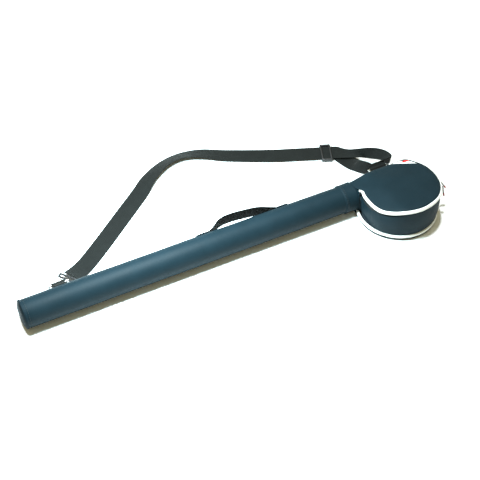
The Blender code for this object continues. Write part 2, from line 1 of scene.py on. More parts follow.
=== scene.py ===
"""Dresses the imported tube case: cloth, piping, zip, webbing, rings, hook, stage and camera.

Every place is in the model's own frame. Sizes are in millimetres and become metres with MM.
"""

import math

import bmesh
import bpy
from mathutils import Matrix, Vector, noise


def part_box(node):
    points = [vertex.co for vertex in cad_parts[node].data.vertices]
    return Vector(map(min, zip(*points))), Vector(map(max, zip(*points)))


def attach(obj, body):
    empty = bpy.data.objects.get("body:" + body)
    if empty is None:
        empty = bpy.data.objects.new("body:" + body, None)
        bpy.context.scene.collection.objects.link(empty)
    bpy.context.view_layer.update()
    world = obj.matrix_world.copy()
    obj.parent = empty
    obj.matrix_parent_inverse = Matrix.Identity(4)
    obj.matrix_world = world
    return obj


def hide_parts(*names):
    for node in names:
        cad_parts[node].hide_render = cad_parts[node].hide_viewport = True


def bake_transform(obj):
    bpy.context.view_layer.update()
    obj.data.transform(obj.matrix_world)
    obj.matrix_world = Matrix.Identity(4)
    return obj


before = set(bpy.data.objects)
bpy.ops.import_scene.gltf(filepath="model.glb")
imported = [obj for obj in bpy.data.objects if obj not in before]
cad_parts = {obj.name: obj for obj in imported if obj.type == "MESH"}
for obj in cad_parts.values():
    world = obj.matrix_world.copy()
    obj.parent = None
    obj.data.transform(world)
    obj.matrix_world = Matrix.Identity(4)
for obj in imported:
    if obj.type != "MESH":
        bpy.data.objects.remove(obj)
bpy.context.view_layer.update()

MM = 0.001
WORLD_Z = Vector((0, 0, 1))

# The tube's axis and the pouch's plan, as in the model
SLEEVE_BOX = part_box("tube_sleeve")
TUBE_Y = (SLEEVE_BOX[0].y + SLEEVE_BOX[1].y) / 2 / MM
TUBE_Z = (SLEEVE_BOX[0].z + SLEEVE_BOX[1].z) / 2 / MM
SLEEVE_RADIUS = (SLEEVE_BOX[1].y - SLEEVE_BOX[0].y) / 2 / MM
TUBE_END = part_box("sleeve_end_disc")[0].x / MM
NECK_X = -71.0
POUCH_RADIUS = 75.0
SIDE_RADIUS = 100.0
SIDE_START = math.radians(-17)
SIDE_CENTRE = Vector((math.cos(SIDE_START), math.sin(SIDE_START))) * (POUCH_RADIUS - SIDE_RADIUS)
BACK_CENTRE_Y = 50.5
BACK_RADIUS = 29.5
LID_BACK_Y = 66.5
BASE_BACK_Y = 73.5
CORNER = 7.0
LID_TOP = 64.4
HINGE_LEFT, HINGE_RIGHT = -67.0, 48.0
WALL_LOW, WALL_HIGH = 9.4, 51.6
DRAWN_IN = 6.0  # how much the pouch's plan narrows beside the neck
LET_OUT = 2.4  # how much it widens at the far side
ZIP_SHARE = 0.5  # how much of both the zip follows
ZIP_DIP = 0.75  # how much of the lid's dip the zip and its piping follow
NECK_DIP, BACK_DIP = 7.0, 3.0  # how far the lid dips at the neck and along the straight back
SLIDER_Z, HINGE_SEAM_Z = 52.4, 51.2
PIPING_Z, BASE_PIPING_Z, PIPING_HALF_WIDE = 58.8, 8.3, 2.9
RING_AXIS = Vector((0, 84.5, 36.0))
END_RING_X = -654.0
POUCH_RING_X = 15.0
STRAP_WIDTH = 36.0
TRIGLIDE = Vector((-39.7, 203.3, 5.2))
TRIGLIDE_TURN = math.radians(-22)
HOOK_BASE = Vector((-628.1, 107.1, 13.7))
HOOK_TURN = math.radians(218)
HOOK_RISE = math.radians(14)
PULL_REACH = 7.6  # from the zip's path out to the pull's axis
HANDLE_ANGLE = math.radians(15)
HANDLE_LEFT, HANDLE_RIGHT, HANDLE_SEWN = -367.0, -224.0, 22.0
HANDLE_WIDTH = 25.0
HANDLE_TWIST = math.radians(9)  # how far the loose loop leans out as it rises
WEBBING_THICK = 1.5

# The zip, the lid and the sliders are turned about the hinge line, so that they rise to the front
HINGE = Vector((0, 67.0, 57.0))
LID_TILT = math.radians(5.2)
TO_HINGE = Matrix.Translation(HINGE * MM)
TILT = TO_HINGE @ Matrix.Rotation(-LID_TILT, 4, "X") @ Matrix.Translation(-HINGE * MM)
TILTED_BODIES = ("lid", "front_slider", "front_pull", "back_slider", "back_pull")


# ---- materials


class Nodes:
    """Short calls for building one material's node tree."""

    def __init__(self, name):
        self.material = bpy.data.materials.new(name)
        self.material.use_nodes = True
        self.tree = self.material.node_tree
        self.shader = self.tree.nodes["Principled BSDF"]

    def add(self, kind, **values):
        node = self.tree.nodes.new(kind)
        for key, value in values.items():
            if key.startswith("in_"):
                node.inputs[key[3:].replace("_", " ")].default_value = value
            else:
                setattr(node, key, value)
        return node

    def link(self, source, target):
        self.tree.links.new(source, target)

    def math(self, operation, a, b=0.0):
        node = self.add("ShaderNodeMath", operation=operation)
        for socket, value in zip(node.inputs, (a, b)):
            if isinstance(value, (int, float)):
                socket.default_value = value
            else:
                self.link(value, socket)
        return node.outputs[0]

    def mix(self, share, a, b):
        node = self.add("ShaderNodeMix", data_type="RGBA")
        for socket, value in ((node.inputs[0], share), (node.inputs[6], a), (node.inputs[7], b)):
            if isinstance(value, (int, float)):
                socket.default_value = value
            elif isinstance(value, tuple):
                socket.default_value = (*value, 1.0)
            else:
                self.link(value, socket)
        return node.outputs[2]

    def texture(self, kind, **values):
        node = self.add(kind, **values)
        self.link(self.add("ShaderNodeTexCoord").outputs["Object"], node.inputs["Vector"])
        return node

    def noise(self, scale, detail):
        node = self.texture("ShaderNodeTexNoise", in_Scale=scale, in_Detail=detail)
        return node.outputs["Fac"]

    def uv(self):
        split = self.add("ShaderNodeSeparateXYZ")
        self.link(self.add("ShaderNodeTexCoord").outputs["UV"], split.inputs[0])
        return split.outputs[0], split.outputs[1]

    def vary(self, share, low, high):
        """Base colour between two colours, by a share from 0 to 1."""
        self.link(self.mix(share, low, high), self.shader.inputs["Base Color"])

    def rough(self, share, spread, base):
        """Roughness that varies over a spread, upwards from a base."""
        value = self.math("ADD", self.math("MULTIPLY", share, spread), base)
        self.link(value, self.shader.inputs["Roughness"])

    def bump(self, height, distance, strength):
        node = self.add("ShaderNodeBump", in_Distance=distance, in_Strength=strength)
        self.link(height, node.inputs["Height"])
        self.link(node.outputs[0], self.shader.inputs["Normal"])

    def set(self, **values):
        for key, value in values.items():
            socket = self.shader.inputs[key.replace("_", " ")]
            if isinstance(value, tuple):
                value = (*value, 1.0)
            socket.default_value = value


def woven(name, colour, pitch_mm, depth_mm, roughness, sheen, contrast=0.25, specular=0.3):
    """Plain-weave cloth: crossing threads with painted shade, lighter where they stand up, and soft
    mottling.
    """
    n = Nodes(name)
    u, v = n.uv()
    turns = 2 * math.pi / (pitch_mm * MM)
    warp = n.math("SINE", n.math("MULTIPLY", u, turns))
    weft = n.math("SINE", n.math("MULTIPLY", v, turns))
    threads = n.math("MULTIPLY", warp, weft)
    fuzz = n.noise(2200.0, 2.0)
    height = n.math("ADD", n.math("MULTIPLY", threads, 0.5), n.math("MULTIPLY", fuzz, 0.6))
    patches = n.noise(35.0, 5.0)
    light = tuple(min(1.0, c * (1 + contrast) + 0.002) for c in colour)
    dark = tuple(c * (1 - contrast) for c in colour)
    # thread tops painted lighter and the gaps between threads darker: painted shade at the weave's
    # scale; the patches are random mottling
    shade = n.math("ADD", n.math("MULTIPLY", height, 0.35), n.math("MULTIPLY", patches, 0.7))
    n.vary(shade, dark, light)
    n.rough(patches, 0.12, roughness - 0.06)
    n.bump(height, depth_mm * MM, 0.6)
    n.set(Sheen_Weight=sheen, Sheen_Roughness=0.45, Specular_IOR_Level=specular)
    n.shader.inputs["Sheen Tint"].default_value = (*(min(1.0, 0.25 + 4 * c) for c in colour), 1.0)
    return n.material


def ribbed(name, colour, rib_mm, thread_mm, roughness):
    """Webbing: ribs across the width, crossed by fine lengthwise threads, rib tops painted lighter
    in patches: painted highlight together with wear.
    """
    n = Nodes(name)
    u, v = n.uv()
    along = n.math("MULTIPLY", v, 2 * math.pi / (rib_mm * MM))
    across = n.math("MULTIPLY", u, 2 * math.pi / (thread_mm * MM))
    slant = n.math("ADD", along, n.math("MULTIPLY", n.math("SINE", across), 1.1))
    ribs = n.math("ABSOLUTE", n.math("SINE", slant))
    fuzz = n.noise(1800.0, 3.0)
    height = n.math("ADD", ribs, n.math("MULTIPLY", fuzz, 0.4))
    wear_and_rib_highlight = n.noise(60.0, 4.0)
    light = tuple(c * 1.9 + 0.003 for c in colour)
    # rib tops painted lighter than the hollows, in noise patches: a painted highlight, together
    # with wear
    n.vary(n.math("MULTIPLY", height, wear_and_rib_highlight), colour, light)
    n.bump(height, 0.3 * MM, 0.7)
    n.set(Roughness=roughness, Sheen_Weight=0.03, Sheen_Roughness=0.4, Specular_IOR_Level=0.2)
    return n.material


def plastic(name, colour, roughness, grain=900.0):
    """Moulded plastic with fine sparked grain and faint handling marks."""
    n = Nodes(name)
    fine, broad = n.noise(grain, 3.0), n.noise(40.0, 5.0)
    light = tuple(c * 1.25 + 0.004 for c in colour)
    n.vary(broad, colour, light)
    n.rough(broad, 0.15, roughness - 0.07)
    n.bump(fine, 0.05 * MM, 0.5)
    n.set(Specular_IOR_Level=0.5)
    return n.material


def metal(name, colour, roughness):
    """Plated or painted metal, brushed slightly by handling."""
    n = Nodes(name)
    fine, broad = n.noise(1500.0, 2.0), n.noise(90.0, 4.0)
    dull = tuple(c * 0.75 for c in colour)
    n.vary(broad, dull, colour)
    n.rough(broad, 0.2, roughness - 0.08)
    n.bump(fine, 0.02 * MM, 0.3)
    n.set(Metallic=1.0)
    return n.material


def foam_material(name, colour):
    """Closed-cell foam: small open pits."""
    n = Nodes(name)
    depth = n.texture("ShaderNodeTexVoronoi", in_Scale=900.0).outputs["Distance"]
    n.vary(depth, tuple(c * 1.5 for c in colour), colour)
    n.bump(depth, 0.25 * MM, 0.6)
    n.set(Roughness=0.95, Specular_IOR_Level=0.1)
    return n.material


NAVY = woven("navy weave", (0.0046, 0.0145, 0.0205), 1.1, 0.12, 0.55, 0.02, specular=0.1)
NAVY_EDGE = woven("navy binding", (0.0038, 0.0115, 0.0165), 0.8, 0.1, 0.6, 0.02, specular=0.08)
PIPING = woven("off-white piping", (0.78, 0.78, 0.74), 0.6, 0.05, 0.55, 0.1, contrast=0.05)
WEBBING = ribbed("black webbing", (0.0022, 0.003, 0.0026), 1.6, 2.1, 0.75)
ZIP_TAPE = woven("zip tape", (0.008, 0.008, 0.009), 0.7, 0.08, 0.8, 0.1)
ZIP_COIL = plastic("zip coil", (0.006, 0.006, 0.007), 0.4)
ZIP_METAL = metal("black enamelled metal", (0.045, 0.045, 0.05), 0.35)
PULL_TIP = plastic("dark red moulding", (0.32, 0.008, 0.02), 0.35)
RING_METAL = metal("nickel plate", (0.66, 0.65, 0.62), 0.28)
BLACK_PLASTIC = plastic("black plastic", (0.010, 0.010, 0.011), 0.42)
BADGE = plastic("white patch", (0.86, 0.86, 0.86), 0.45, grain=500.0)
BADGE_MARK = plastic("red print", (0.75, 0.012, 0.012), 0.5)
PIPE = plastic("grey pipe", (0.42, 0.43, 0.44), 0.35)
FOAM = foam_material("foam", (0.05, 0.05, 0.055))
LINING = woven("lining cloth", (0.022, 0.026, 0.034), 0.45, 0.04, 0.8, 0.15)
THREAD = woven("sewing thread", (0.007, 0.016, 0.021), 0.3, 0.04, 0.6, 0.3)
BLACK_THREAD = woven("black thread", (0.012, 0.012, 0.012), 0.3, 0.04, 0.6, 0.3)

NODE_MATERIALS = {
    "inner_pipe": PIPE,
    "pipe_end_plug": BLACK_PLASTIC,
    "end_foam_pad": FOAM,
    "tube_lining": LINING,
    "zip_stop_front": ZIP_METAL,
    "zip_stop_back": ZIP_METAL,
    "neck_panel": NAVY,
}


# ---- mesh helpers


def finish_piece(obj, body, material, replaces=(), sharp=50, tilt=False):
    """Gives a new object its material and body, and hides the model's nodes it stands for.

    A piece that is to be blended between two bodies comes with no body. tilt turns a piece of the
    case with the lid, about the hinge line.
    """
    if obj.type == "MESH":
        obj.data.shade_smooth()
        obj.data.set_sharp_from_angle(angle=math.radians(sharp))
    obj.data.materials.clear()
    obj.data.materials.append(material)
    if body in TILTED_BODIES or tilt:
        obj.data.transform(TILT)
    if body:
        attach(obj, body)
    if replaces:
        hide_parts(*replaces)
    return obj


def new_object(name, data):
    obj = bpy.data.objects.new(name, data)
    bpy.context.scene.collection.objects.link(obj)
    return obj


def mesh_object(name, bm):
    bmesh.ops.recalc_face_normals(bm, faces=bm.faces)
    mesh = bpy.data.meshes.new(name)
    bm.to_mesh(mesh)
    bm.free()
    return new_object(name, mesh)


def full_turn(count):
    """Angles once round, evenly spaced."""
    return [2 * math.pi * k / count for k in range(count)]


def spaced(start, end, count):
    """Numbers from start to end in even steps."""
    return [start + (end - start) * k / count for k in range(count + 1)]


def loft_into(bm, rings, cyclic=False, flat_uv=False):
    """Adds a skin through closed rings of points in mm, with its map in metres on it."""
    uv = bm.loops.layers.uv.verify()
    loops = [[bm.verts.new(Vector(p) * MM) for p in ring] for ring in rings]
    count = len(rings[0])
    around = []
    for ring in rings:
        run, steps = 0.0, [0.0]
        for k in range(count):
            run += (Vector(ring[(k + 1) % count]) - Vector(ring[k])).length
            steps.append(run)
        around.append(steps)
    middle = [sum((Vector(p) for p in ring), Vector()) / count for ring in rings]
    travel = [0.0]
    for k in range(1, len(rings)):
        move = (middle[k] - middle[k - 1]).length
        drift = (Vector(rings[k][0]) - Vector(rings[k - 1][0])).length
        travel.append(travel[-1] + max(move, drift))
    spans = [(k, k + 1) for k in range(len(rings) - 1)]
    if cyclic:
        spans.append((len(rings) - 1, 0))
    for one, two in spans:
        for k in range(count):
            after = (k + 1) % count
            corners = ((one, k, k), (one, after, k + 1), (two, after, k + 1), (two, k, k))
            face = bm.faces.new([loops[r][index] for r, index, _ in corners])
            for loop, (r, _, step) in zip(face.loops, corners):
                spot = (around[r][step] * MM, travel[r] * MM)
                loop[uv].uv = loop.vert.co.xy if flat_uv else spot
    if not cyclic:
        for ring in (loops[0][::-1], loops[-1]):
            face = bm.faces.new(ring)
            for loop in face.loops:
                loop[uv].uv = loop.vert.co.xy if flat_uv else loop.vert.co.yz


def loft(name, rings, cyclic=False, flat_uv=False):
    bm = bmesh.new()
    loft_into(bm, rings, cyclic, flat_uv)
    return mesh_object(name, bm)


def crumple(obj, height_mm, size_mm, seed=0.0, keep=None):
    """Moves vertices along their normals by smooth noise, so that cloth isn't perfectly even."""
    shift = Vector((seed, seed * 1.7, -seed))
    for vertex in obj.data.vertices:
        place = vertex.co / MM
        share = 1.0 if keep is None else keep(place)
        wave = noise.noise(place / size_mm + shift)
        wave += 0.5 * noise.noise(place / size_mm * 2.3 + shift)
        vertex.co += vertex.normal * (wave * height_mm * MM * share)
    return obj


def smoothstep(value):
    value = max(0.0, min(1.0, value))
    return value * value * (3 - 2 * value)


def smooth_line(stops, per_span, closed=False):
    """A Catmull-Rom curve through tuples of any length."""
    line, last = [], len(stops) - 1
    spans = last + 1 if closed else last
    for k in range(spans):
        ids = (k - 1, k, k + 1, k + 2)
        picked = [stops[j % (last + 1)] if closed else stops[max(0, min(last, j))] for j in ids]
        for step in range(per_span):
            t = step / per_span
            line.append(tuple(catmull(*values, t) for values in zip(*picked)))
    if not closed:
        line.append(tuple(stops[-1]))
    return line


def catmull(a, b, c, d, t):
    square, cube = 2 * a - 5 * b + 4 * c - d, 3 * b - a - 3 * c + d
    return 0.5 * (2 * b + (c - a) * t + square * t**2 + cube * t**3)


def sweep_rings(points, sideways, half_wide, half_tall, sides=12):
    """Oval cross-sections along a line: half_wide lies along sideways(k), half_tall across it."""
    rings = []
    for k, point in enumerate(points):
        before, after = points[max(k - 1, 0)], points[min(k + 1, len(points) - 1)]
        along = (Vector(after) - Vector(before)).normalized()
        wide = Vector(sideways(k))
        wide = (wide - along * wide.dot(along)).normalized()
        tall = along.cross(wide)
        ring = []
        for t in full_turn(sides):
            off = wide * half_wide * math.cos(t)
            ring.append(Vector(point) + off + tall * half_tall * math.sin(t))
        rings.append(ring)
    return rings


def rod(name, points, radius, closed=False, resolution=4, smooth=True):
    """A round bar through points in mm, as a mesh."""
    curve = bpy.data.curves.new(name, "CURVE")
    curve.dimensions = "3D"
    curve.bevel_depth = radius * MM
    curve.bevel_resolution = resolution
    curve.use_fill_caps = True
    line = curve.splines.new("POLY")
    path = smooth_line([tuple(p) for p in points], 6, closed) if smooth else points
    line.points.add(len(path) - 1)
    for point, place in zip(line.points, path):
        point.co = (*(Vector(place) * MM), 1.0)
    line.use_cyclic_u = closed
    shape = bpy.data.objects.new(name, curve)
    mesh = bpy.data.meshes.new_from_object(shape)
    bpy.data.objects.remove(shape)
    return new_object(name, mesh)


def rounded_box_into(bm, place, low, high, bevel):
    """A box in mm with rounded edges, moved by place (a 4x4 matrix in mm)."""
    made = bmesh.ops.create_cube(bm, size=1.0)["verts"]
    size = Vector(high) - Vector(low)
    centre = (Vector(high) + Vector(low)) / 2
    for vertex in made:
        vertex.co = Vector(a * b for a, b in zip(vertex.co, size)) + centre
    edges = list({edge for vertex in made for edge in vertex.link_edges})
    done = bmesh.ops.bevel(bm, geom=edges, offset=bevel, segments=3, profile=0.5, affect="EDGES")
    verts = {vertex for face in done["faces"] for vertex in face.verts}
    for vertex in verts | {v for v in made if v.is_valid}:
        vertex.co = (place @ vertex.co) * MM


def boxes(name, place, parts):
    """Several rounded boxes as one piece: each is (low, high, bevel)."""
    bm = bmesh.new()
    for low, high, bevel in parts:
        rounded_box_into(bm, place, low, high, bevel)
    return mesh_object(name, bm)


def stitches(name, lines, body, material=THREAD, length=3.0, gap=1.3):
    """Rows of thread: each row is a line of points in mm that lies on the cloth."""
    radius = 0.38
    bm = bmesh.new()
    for line in lines:
        points = [Vector(p) for p in line]
        runs = [0.0]
        for a, b in zip(points, points[1:]):
            runs.append(runs[-1] + (b - a).length)

        def spot(distance):
            for k in range(len(points) - 1):
                if distance <= runs[k + 1] or k == len(points) - 2:
                    span = max(runs[k + 1] - runs[k], 1e-6)
                    return points[k].lerp(points[k + 1], min(1.0, (distance - runs[k]) / span))
            return points[-1]

        count = int(runs[-1] // (length + gap))
        for k in range(count):
            start, stop = spot(k * (length + gap)), spot(k * (length + gap) + length)
            along = (stop - start).normalized()
            side = along.orthogonal().normalized()
            other = along.cross(side)
            rings = []
            for share, size in ((0.0, 0.35), (0.2, 1.0), (0.8, 1.0), (1.0, 0.35)):
                centre = start.lerp(stop, share)
                round_it = [side * math.cos(t) + other * math.sin(t) for t in full_turn(6)]
                rings.append([centre + way * radius * size for way in round_it])
            loft_into(bm, rings)
    finish_piece(mesh_object(name, bm), body, material)


# ---- the pouch's plan


def arc(centre, radius, start, end, count):
    x, y = centre
    turns = spaced(start, end, count - 1)
    return [Vector((x + radius * math.cos(a), y + radius * math.sin(a))) for a in turns]


def round_path(inset, end_y, start_y=24.2, count=72, side_count=22):
    """The plan from the neck's front round to the far back corner."""
    start = math.pi - math.asin(start_y / POUCH_RADIUS)
    front = arc((0, 0), POUCH_RADIUS - inset, start, 2 * math.pi + SIDE_START, count)
    radius = SIDE_RADIUS - inset
    stop = math.asin((end_y - SIDE_CENTRE.y) / radius)
    return front + arc(SIDE_CENTRE, radius, SIDE_START, stop, side_count)[1:]


def open_plan(inset, back):
    """The round path, a rounded corner, and the straight back to the neck."""
    back_count = 20
    points = round_path(inset, back - inset - CORNER)
    y = back - inset
    radius = SIDE_RADIUS - inset
    corner_x = SIDE_CENTRE.x + math.sqrt(radius**2 - (y - SIDE_CENTRE.y) ** 2)
    start, tip, end = points[-1], Vector((corner_x, y)), Vector((corner_x - CORNER, y))
    for share in (0.17, 0.33, 0.5, 0.67, 0.83, 1.0):
        points.append(start * (1 - share) ** 2 + tip * (2 * share * (1 - share)) + end * share**2)
    for k in range(1, back_count + 1):
        points.append(end + (Vector((NECK_X + inset, y)) - end) * k / back_count)
    return points


def closed_plan(inset, back):
    """The open plan closed along the neck."""
    neck_count = 10
    points = open_plan(inset, back)
    first, last = points[0], points[-1]
    return points + [last.lerp(first, k / neck_count) for k in range(1, neck_count)]


def shaped(points, share=1.0):
    """The plan drawn in beside the neck, where pouch and tube meet, and let out at the far side."""
    made = []
    for p in points:
        angle = math.degrees(math.atan2(p.y, p.x)) % 360
        drawn = DRAWN_IN * smoothstep((218 - angle) / 40) * smoothstep((angle - 148) / 10)
        let_out = LET_OUT * smoothstep((p.x - 15) / 45)
        made.append(p + Vector((p.x, p.y)).normalized() * (let_out - drawn) * share)
    return made


def draw_up(obj):
    """Stretches the walls up to the tilted zip."""
    foot, height = 9.8, 41.2
    for vertex in obj.data.vertices:
        share = max(0.0, (vertex.co.z / MM - foot) / height)
        vertex.co.z += math.tan(LID_TILT) * max(0.0, HINGE.y * MM - vertex.co.y) * share
    return obj


def sag(x, y):
    """How far the lid and the zip dip towards the tube at the neck, and along the straight back."""
    return NECK_DIP * smoothstep((-25 - x) / 46) + BACK_DIP * smoothstep((y - 20) / 46)


def lid_top(x, y, inset):
    """Height of the lid's cloth: a low dome, rolled down at its edge."""
    rise, flat_at, rolled, edge_wide = 1.8, 5600, 1.5, 9.0
    dome = rise * (1 - (x * x + y * y) / flat_at)
    roll = rolled * (1 - min(inset, edge_wide) / edge_wide) ** 2
    return LID_TOP + dome - roll - sag(x, y)


def at(points, z):
    return [Vector((p.x, p.y, z)) for p in points]


def dipped(points, z, share=1.0):
    return [Vector((p.x, p.y, z - share * sag(p.x, p.y))) for p in points]


def back_y(z):
    return BACK_CENTRE_Y + math.sqrt(max(0.0, BACK_RADIUS**2 - (z - TUBE_Z) ** 2))


# ---- tube


def circle_x(x, radius, turns=None):
    """A circle round the tube's axis."""
    y, z, turns = TUBE_Y, TUBE_Z, turns or full_turn(72)
    return [Vector((x, y + radius * math.cos(t), z + radius * math.sin(t))) for t in turns]


def on_tube(x, degrees, lift=0.0):
    """A point on the sleeve: degrees are from the back (+Y) upwards."""
    turn = math.radians(degrees)
    radius = SLEEVE_RADIUS + lift
    return Vector((x, TUBE_Y + radius * math.cos(turn), TUBE_Z + radius * math.sin(turn)))


def build_tube():
    start, end = TUBE_END + 4.5, NECK_X - 0.4
    rings = []
    for x in spaced(start, end, 150):
        near_end = math.exp(-((x - start) / 5.0) ** 2) * 0.5
        rings.append(circle_x(x, SLEEVE_RADIUS - near_end + 0.15 * math.sin(x / 37.0)))
    inner = [circle_x(x, SLEEVE_RADIUS - 1.0) for x in (end, start)]
    sleeve = loft("tube_cloth", rings + inner, cyclic=True)
    crumple(sleeve, 0.28, 55.0, 3.0)
    finish_piece(sleeve, "case", NAVY, ["tube_sleeve"])

    bulge = [(24.8, 0.4), (23.8, -1.6), (20.5, -3.4), (14.5, -4.7), (7.0, -5.4), (1.5, -5.6)]
    rings = [circle_x(TUBE_END + 3.2, 23.0)]
    rings += [circle_x(TUBE_END + 1.2 + lift, radius) for radius, lift in bulge]
    disc = loft("end_disc_cloth", rings)
    crumple(disc, 0.5, 14.0, 8.0)
    finish_piece(disc, "case", NAVY, ["sleeve_end_disc"])

    rim = circle_x(TUBE_END + 2.4, 25.9, spaced(0, 2 * math.pi, 90))
    rings = sweep_rings(rim, lambda k: Vector((1, 0, 0)), 2.4, 1.3)[:-1]
    binding = crumple(loft("end_binding_cloth", rings, cyclic=True), 0.15, 9.0, 5.0)
    finish_piece(binding, "case", NAVY_EDGE, ["end_binding"])

    edge = [on_tube(TUBE_END + 8.5, k * 4, 0.15) for k in range(91)]
    stitches("end_stitches", [edge], "case")

    steps = spaced(start, end, 90)
    profile = ((-66, 0.0), (-65, 0.8), (-58, 1.0), (-50, 0.8), (-49, 0.0), (-57, -0.3))
    seam = loft("tube_seam", [[on_tube(x, a, lift) for a, lift in profile] for x in steps])
    finish_piece(crumple(seam, 0.12, 18.0), "case", NAVY_EDGE)
    rows = [[on_tube(x, angle, 1.0) for x in steps] for angle in (-62, -53)]
    stitches("tube_seam_stitches", rows, "case")

    collar_long = 27
    first, last = NECK_X - collar_long, NECK_X - 0.2
    rings = []
    for share in spaced(0, 1, 14):
        run = share * collar_long
        hem = 0.35 * math.exp(-((run - 1.5) / 1.6) ** 2) - 0.8 * math.exp(-(run / 0.8) ** 2)
        radius = SLEEVE_RADIUS + 1.15 + hem + 0.5 * share**3
        rings.append(circle_x(first + (last - first) * share, radius))
    inner = [circle_x(x, SLEEVE_RADIUS + 0.25) for x in (last, first)]
    collar = crumple(loft("collar_cloth", rings + inner, cyclic=True), 0.3, 16.0, 11.0)
    finish_piece(collar, "case", NAVY, ["neck_collar"])
    rows = [[on_tube(first + x, k * 4, 1.6) for k in range(91)] for x in (3.0, 5.4)]
    stitches("collar_stitches", rows, "case")


# ---- pouch


def build_wall():
    rings = []
    for share in spaced(0, 1, 16):
        z = WALL_LOW + (WALL_HIGH - WALL_LOW) * share
        puff = -1.5 * math.sin(math.pi * share) + 0.7 * (share**6 + (1 - share) ** 6)
        gusset = [Vector((-70.8, 27.5)), Vector((-68.6, 26.6)), Vector((-66.4, 25.0))]
        back = back_y(z) + puff * 0.6
        outer = gusset + shaped(open_plan(puff, back))
        inner = [p + Vector((0.4, 1.3)) for p in gusset] + shaped(open_plan(1.4 + puff, back))
        rings.append(dipped(outer, z, share) + dipped(inner[::-1], z, share))
    wall = loft("pouch_wall_cloth", rings)

    # along the straight back the wall turns in and down to the base's flange
    for vertex in wall.data.vertices:
        if vertex.co.z < (WALL_LOW + 0.1) * MM:
            share = smoothstep((vertex.co.y / MM - 57.0) / 8.0)
            vertex.co += Vector((0, -3.4, -3.5)) * MM * share

    def soft(place):
        return smoothstep((place.z - WALL_LOW) / 8) * smoothstep((WALL_HIGH - place.z) / 8)

    draw_up(crumple(wall, 0.7, 30.0, 6.0, soft))
    finish_piece(wall, "case", NAVY, ["pouch_wall"], sharp=60)

    path, inner = (shaped(round_path(inset, 52.0)) for inset in (3.0, 6.0))
    swells = ((9.9, 0.6), (12, 0.1), (20, -0.2), (30, -0.3), (40, -0.2), (47, 0.1), (49.6, 0.6))
    rings = []
    for z, swell in swells:
        ring_out = dipped([p.lerp(q, swell * 0.2 + 0.12) for p, q in zip(path, inner)], z, 0.6)
        ring_in = dipped([q.lerp(p, max(swell, 0) * 0.5) for p, q in zip(path, inner)], z, 0.6)
        rings.append(ring_out + ring_in[::-1])
    pad = draw_up(loft("wall_pad_cloth", rings))
    finish_piece(pad, "case", LINING, ["wall_padding"], sharp=60)


def piping(name, z, body, replaced, dip, share, tall):
    """Fat piping: a cord in a folded strip of cloth, whose flat edge is sewn into the seam."""
    path = shaped(round_path(-0.2, 56.0, start_y=31.0), share)
    points = dipped(path, z, dip)
    tuck = [Vector((-60.5, 40.0)), Vector((-64.0, 36.5)), Vector((-66.8, 33.2))]
    points = dipped(tuck, z - 0.6, dip) + points[1:]

    def outward(k):
        return Vector((points[k].x, points[k].y, 0)) if k > 3 else Vector((-1.0, -0.6, 0))

    rings = sweep_rings(points, outward, PIPING_HALF_WIDE, tall, sides=16)
    for k, size in enumerate((0.35, 0.5, 0.68, 0.85)):
        rings[k] = [points[k] + (p - points[k]) * size for p in rings[k]]
    cord = crumple(loft(name, rings), 0.22, 9.0, 2.0)
    finish_piece(cord, body, PIPING, replaced)


def build_base():
    under = ((11.0, 0.0), (4.0, 0.1), (0.4, 0.7), (-1.6, 2.0), (-2.2, 3.6))
    over = ((-1.4, 5.0), (1.5, 5.6), (6.0, 4.6), (20.0, 4.3))
    rings = [at(closed_plan(inset, BASE_BACK_Y), z) for inset, z in under + over]
    base = loft("base_cloth", rings, flat_uv=True)
    finish_piece(base, "case", NAVY_EDGE, ["base_panel"])
    levels = ((7.2, 5.0), (6.6, 6.4), (7.8, 8.0), (16.0, 8.6))
    rings = [at(closed_plan(inset, BASE_BACK_Y - 1.5), z) for inset, z in levels]
    pad = loft("base_pad_cloth", rings, flat_uv=True)
    finish_piece(pad, "case", LINING, ["base_pad"])
    piping("base_piping_cloth", BASE_PIPING_Z, "case", ["base_piping"], 0.0, 0.0, 3.0)


def lid_plan(inset):
    return shaped(closed_plan(inset, LID_BACK_Y))


def shrunk(inset, scales):
    """The lid's plan at an inset, drawn together by each scale in turn."""
    middle, plan = Vector((-4.0, 0.0)), lid_plan(inset)
    return [[middle + (p - middle) * scale for p in plan] for scale in scales]


def on_lid(plan, inset, drop=0.0):
    """The plan on the lid's cloth as it lies at an inset, or some way under it."""
    return [Vector((p.x, p.y, lid_top(p.x, p.y, inset) - drop)) for p in plan]


def under_lid(plan, drop):
    return on_lid(plan, 0.9, drop)


def build_lid():
    inward = (0.88, 0.74, 0.6, 0.46, 0.32, 0.18, 0.06)
    shape = [under_lid(plan, 7.3) for plan in shrunk(14.0, inward[::-1])]
    for inset, drop in ((9.0, 7.3), (5.4, 7.2), (4.0, 6.4), (3.8, 3.4), (2.0, 1.4), (0.9, 0.7)):
        shape.append(under_lid(lid_plan(inset), drop))
    shape += [on_lid(lid_plan(inset), inset) for inset in (0.6, 1.6, 3.2, 5.5, 9.0, 14.0)]
    shape += [on_lid(plan, 14.0) for plan in shrunk(14.0, inward)]
    lid = loft("lid_cloth", shape, flat_uv=True)

    def on_top(place):
        return smoothstep((place.z - 58.0) / 4.0)

    crumple(lid, 0.55, 34.0, 21.0, on_top)
    finish_piece(lid, "lid", NAVY, ["lid_panel"], sharp=70)

    levels = ((14.0, 7.6), (8.8, 7.7), (8.2, 8.3), (9.5, 9.0), (18.0, 9.6))
    rings = [under_lid(lid_plan(inset), drop) for inset, drop in levels]
    rings += [under_lid(plan, 9.7) for plan in shrunk(18.0, inward)]
    pad = loft("lid_pad_cloth", rings, flat_uv=True)
    finish_piece(pad, "lid", LINING, ["lid_padding"])
    piping("lid_piping_cloth", PIPING_Z, "lid", ["lid_piping"], ZIP_DIP, 1.0, 3.6)
    build_badge()


